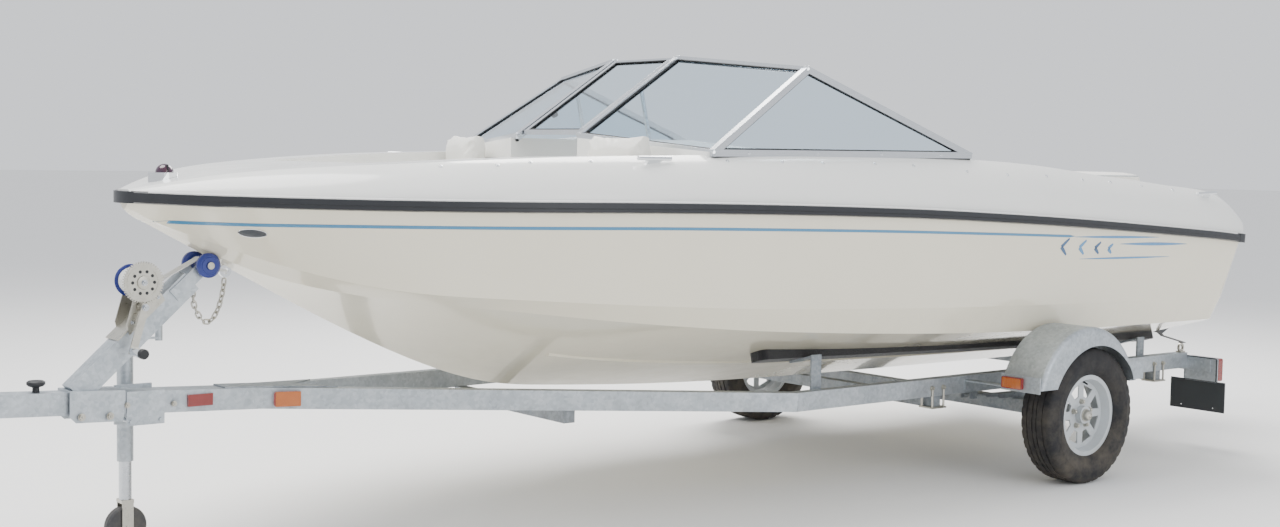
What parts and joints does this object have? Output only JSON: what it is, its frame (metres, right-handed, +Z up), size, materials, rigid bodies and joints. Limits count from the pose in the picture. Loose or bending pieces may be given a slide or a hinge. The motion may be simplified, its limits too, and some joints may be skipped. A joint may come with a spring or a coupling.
{
  "type": "speedboat on a trailer",
  "caption": "Open-bow runabout with windshield, cockpit and sterndrive, lying on its bunk trailer with winch stand and swing jack.",
  "frame": {"origin": "on the ground, under the middle of the whole length and width", "axes": "+X forward, toward the bow and the coupler; +Y to port; +Z up"},
  "size_m": [7.0248, 2.26, 1.8113],
  "materials": {
    "gelcoat_cream": "glossy gelcoat",
    "gelcoat_white": "glossy gelcoat",
    "bumper_black": "satin",
    "carpet_grey": "short pile",
    "vinyl_white": "sewn marine vinyl",
    "anodised": "satin anodised",
    "shield_glass": "clear",
    "polished": "polished",
    "engine_iron": "painted black",
    "drive_paint": "satin",
    "ram_steel": "ground",
    "galvanised": "hot-dip galvanised",
    "tyre_rubber": "matt",
    "wheel_paint": "satin",
    "roller_blue": "satin",
    "webbing_white": "woven",
    "webbing_black": "woven",
    "lens_red": "moulded",
    "helm_black": "moulded",
    "caster_grey": "moulded"
  },
  "bodies": {
    "boat_and_trailer": {"hull": "gelcoat_cream", "deck": "gelcoat_white", "rub_rail": "bumper_black", "sole": "carpet_grey", "liner_panels": "gelcoat_white", "consoles": "gelcoat_white", "dash": "gelcoat_white", "windshield_frame": "anodised", "windshield_glass": "shield_glass", "seat_pedestals": "anodised", "benches": "gelcoat_white", "bench_cushions": "vinyl_white", "engine": "engine_iron", "steering_column": "helm_black", "deck_fittings": "polished", "bow_light": "polished", "drive_mount": "drive_paint", "rails": "galvanised", "cross_members": "galvanised", "tongue": "galvanised", "coupler": "galvanised", "winch_stand": "galvanised", "winch": "ram_steel", "winch_strap": "webbing_white", "bow_chain": "ram_steel", "bunks": "carpet_grey", "bunk_brackets": "galvanised", "axle": "galvanised", "springs": "galvanised", "fenders": "galvanised", "lamps": "lens_red", "plate_holder": "helm_black", "tie_rings": "ram_steel", "tie_straps": "webbing_black", "jack_bracket": "galvanised"},
    "hatch": {"hatch_lid": "gelcoat_white", "sun_pad": "vinyl_white"},
    "windshield_door": {"windshield_door_frame": "anodised", "windshield_door_glass": "shield_glass"},
    "helm_chair": {"helm_seat": "gelcoat_white", "helm_cushions": "vinyl_white"},
    "companion_chair": {"companion_seat": "gelcoat_white", "companion_cushions": "vinyl_white"},
    "helm_wheel": {"steering_wheel": "helm_black"},
    "bow_roller_set": {"bow_roller": "roller_blue"},
    "gimbal": {"gimbal_ring": "drive_paint"},
    "trim_cylinders": {"trim_barrels": "drive_paint"},
    "trim_pistons": {"trim_rods": "ram_steel"},
    "drive": {"drive_leg": "drive_paint"},
    "screw": {"propeller": "ram_steel"},
    "wheel_and_tyre_port": {"wheel_port": "wheel_paint", "tyre_port": "tyre_rubber"},
    "wheel_and_tyre_starboard": {"wheel_starboard": "wheel_paint", "tyre_starboard": "tyre_rubber"},
    "jack": {"jack_tube": "galvanised"},
    "jack_inner_leg": {"jack_leg": "galvanised"},
    "jack_caster": {"jack_fork": "galvanised"},
    "jack_caster_wheel": {"jack_wheel": "caster_grey"}
  },
  "joints": [
    {"name": "wheel_spin_port", "type": "hinge", "parent": "boat_and_trailer", "child": "wheel_and_tyre_port", "pos_m": [-1.2008, 1.027, 0.3], "axis": [0, 1, 0], "continuous": true},
    {"name": "wheel_spin_starboard", "type": "hinge", "parent": "boat_and_trailer", "child": "wheel_and_tyre_starboard", "pos_m": [-1.2008, -1.027, 0.3], "axis": [0, 1, 0], "continuous": true},
    {"name": "jack_swing", "type": "hinge", "parent": "boat_and_trailer", "child": "jack", "pos_m": [2.6392, -0.128, 0.528], "axis": [0, 1, 0], "range_deg": [-90, 0]},
    {"name": "jack_leg_slide", "type": "slide", "parent": "jack", "child": "jack_inner_leg", "axis": [0, 0, -1], "range_m": [-0.12, 0.1]},
    {"name": "jack_swivel", "type": "hinge", "parent": "jack_inner_leg", "child": "jack_caster", "pos_m": [2.6392, -0.128, 0.15], "axis": [0, 0, 1], "continuous": true},
    {"name": "jack_wheel_spin", "type": "hinge", "parent": "jack_caster", "child": "jack_caster_wheel", "pos_m": [2.6392, -0.128, 0.072], "axis": [0, 1, 0], "continuous": true},
    {"name": "drive_steer", "type": "hinge", "parent": "boat_and_trailer", "child": "gimbal", "pos_m": [-2.7258, 0, 0.69], "axis": [0, 0, 1], "range_deg": [-30, 30]},
    {"name": "steering_wheel_turn", "type": "hinge", "parent": "boat_and_trailer", "child": "helm_wheel", "pos_m": [0.2392, -0.43, 1.27], "axis": [-0.9397, 0, 0.342], "range_deg": [-450, 450]},
    {"name": "drive_tilt", "type": "hinge", "parent": "gimbal", "child": "drive", "pos_m": [-2.7258, 0, 0.69], "axis": [0, 1, 0], "range_deg": [-50, 5]},
    {"name": "trim_cylinder_swing", "type": "hinge", "parent": "gimbal", "child": "trim_cylinders", "pos_m": [-2.7708, 0.162, 0.54], "axis": [0, 1, 0], "range_deg": [-49.4, 5.4]},
    {"name": "trim_piston_slide", "type": "slide", "parent": "trim_cylinders", "child": "trim_pistons", "axis": [-0.7742, 0, 0.6329], "range_m": [-0.134, 0.0143]},
    {"name": "propeller_spin", "type": "hinge", "parent": "drive", "child": "screw", "pos_m": [-3.4025, 0, 0.70909], "axis": [-0.7071, 0, 0.7071], "continuous": true},
    {"name": "windshield_door_swing", "type": "hinge", "parent": "boat_and_trailer", "child": "windshield_door", "pos_m": [0.69936, 0.197, 1.64385], "axis": [-0.8346, 0, 0.5508], "range_deg": [0, 130]},
    {"name": "hatch_swing", "type": "hinge", "parent": "boat_and_trailer", "child": "hatch", "pos_m": [-2.2548, 0, 1.296], "axis": [0, -1, 0], "range_deg": [0, 70]},
    {"name": "helm_seat_swivel", "type": "hinge", "parent": "boat_and_trailer", "child": "helm_chair", "pos_m": [-0.3508, -0.43, 1.005], "axis": [0, 0, 1], "continuous": true},
    {"name": "companion_seat_swivel", "type": "hinge", "parent": "boat_and_trailer", "child": "companion_chair", "pos_m": [-0.3508, 0.43, 1.005], "axis": [0, 0, 1], "continuous": true},
    {"name": "bow_roller_spin", "type": "hinge", "parent": "boat_and_trailer", "child": "bow_roller_set", "pos_m": [2.4172, 0, 0.991], "axis": [0, 1, 0], "continuous": true}
  ],
  "couplings": [
    {"joint": "steering_wheel_turn", "follows": "drive_steer", "ratio": -15},
    {"joint": "trim_cylinder_swing", "follows": "drive_tilt", "ratio": 0.978},
    {"joint": "trim_piston_slide", "follows": "drive_tilt", "m_per_rad": 0.15238}
  ]
}
